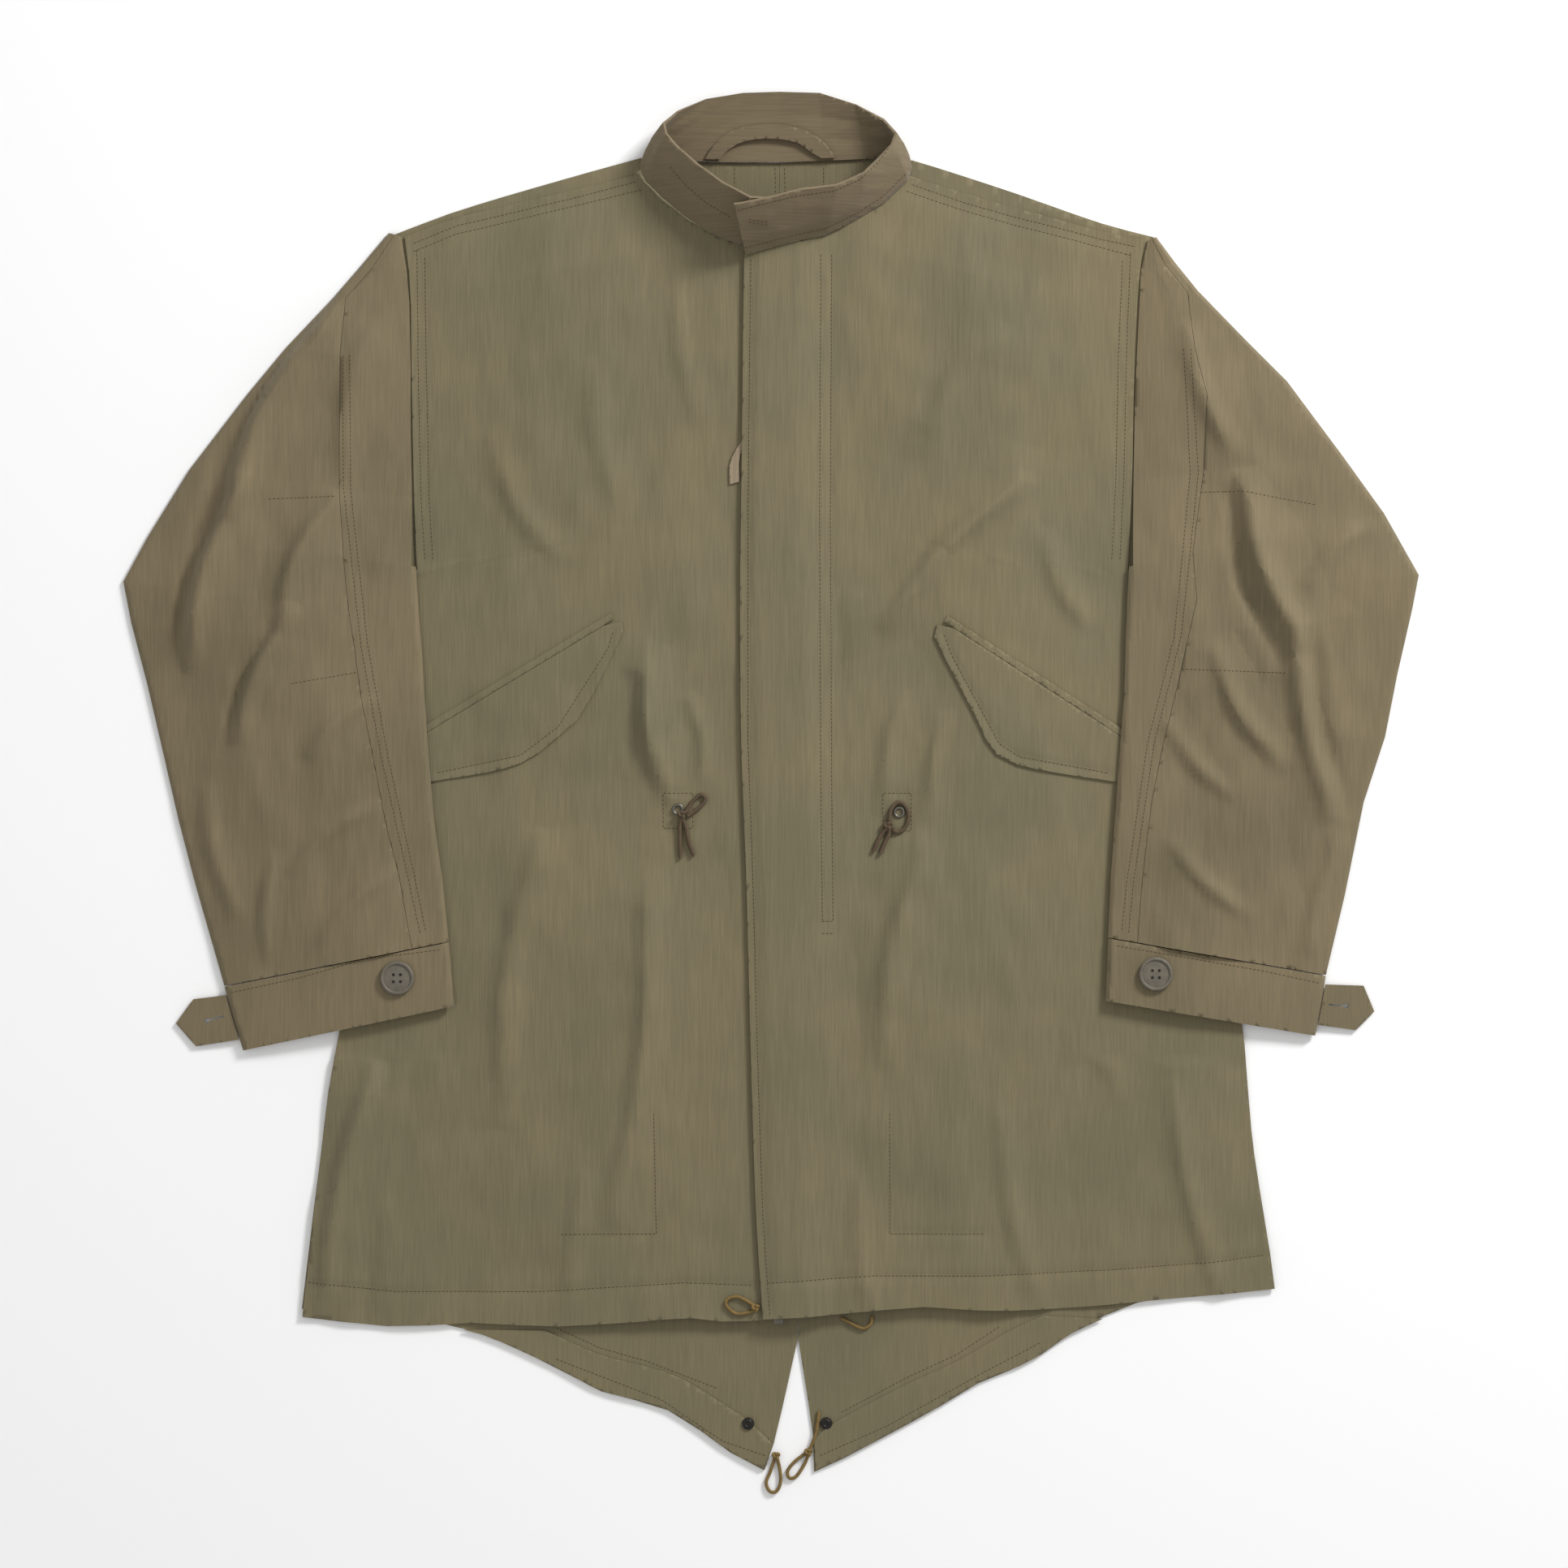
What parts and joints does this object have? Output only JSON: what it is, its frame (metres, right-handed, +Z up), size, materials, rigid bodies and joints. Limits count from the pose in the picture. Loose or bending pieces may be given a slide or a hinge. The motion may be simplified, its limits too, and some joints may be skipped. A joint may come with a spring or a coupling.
{
  "type": "parka",
  "caption": "Olive-drab fishtail parka shell laid flat on its back, with stand collar, fly front, slanted pocket flaps, tabbed cuffs and drawcords",
  "frame": {"origin": "bottom centre of the parka as it lies on its back, without its cords", "axes": "+Z up from the ground to the front, +Y towards the collar, +X towards the wearer's left side"},
  "size_m": [0.962, 1.0405, 0.0507],
  "materials": {
    "shell": "worn olive-drab cotton-nylon sateen, matt with a slight sheen",
    "collar": "the same cloth doubled, darker inside",
    "trim": "the same cloth and zip tape",
    "drawcord": "braided brown waist cord",
    "shock_cord": "mustard-brown covered elastic",
    "metal": "dulled metal",
    "dark_metal": "blackened metal",
    "button": "dull grey-olive, with a rim and four holes",
    "ribbon": "tan ribbon with a frayed end"
  },
  "bodies": {
    "root": {"collar": "collar", "hanger_loop": "collar", "left_back": "shell", "left_cuff": "shell", "left_cuff_button": "button", "left_cuff_tab": "trim", "left_front": "shell", "left_hem_loop": "shock_cord", "left_pocket_flap": "shell", "left_pocket_welt": "shell", "left_sleeve_inner": "shell", "left_sleeve_outer": "shell", "left_tail_casing": "shell", "left_tail_knot": "shock_cord", "left_tail_loop": "shock_cord", "left_tail_snap": "dark_metal", "left_tail_strand": "shock_cord", "left_waist_end_1": "drawcord", "left_waist_end_2": "drawcord", "left_waist_eyelet": "metal", "left_waist_knot": "drawcord", "left_waist_loop": "drawcord", "left_zip_tape": "trim", "right_back": "shell", "right_cuff": "shell", "right_cuff_button": "button", "right_cuff_tab": "trim", "right_front": "shell", "right_hem_knot": "shock_cord", "right_hem_loop": "shock_cord", "right_pocket_flap": "shell", "right_pocket_welt": "shell", "right_sleeve_inner": "shell", "right_sleeve_outer": "shell", "right_tail_casing": "shell", "right_tail_knot": "shock_cord", "right_tail_loop": "shock_cord", "right_tail_snap": "dark_metal", "right_waist_end_1": "drawcord", "right_waist_end_2": "drawcord", "right_waist_eyelet": "metal", "right_waist_knot": "drawcord", "right_waist_loop": "drawcord", "right_zip_tape": "trim", "zip_pull": "ribbon", "zip_slider": "metal", "zip_stop": "metal"}
  },
  "joints": []
}
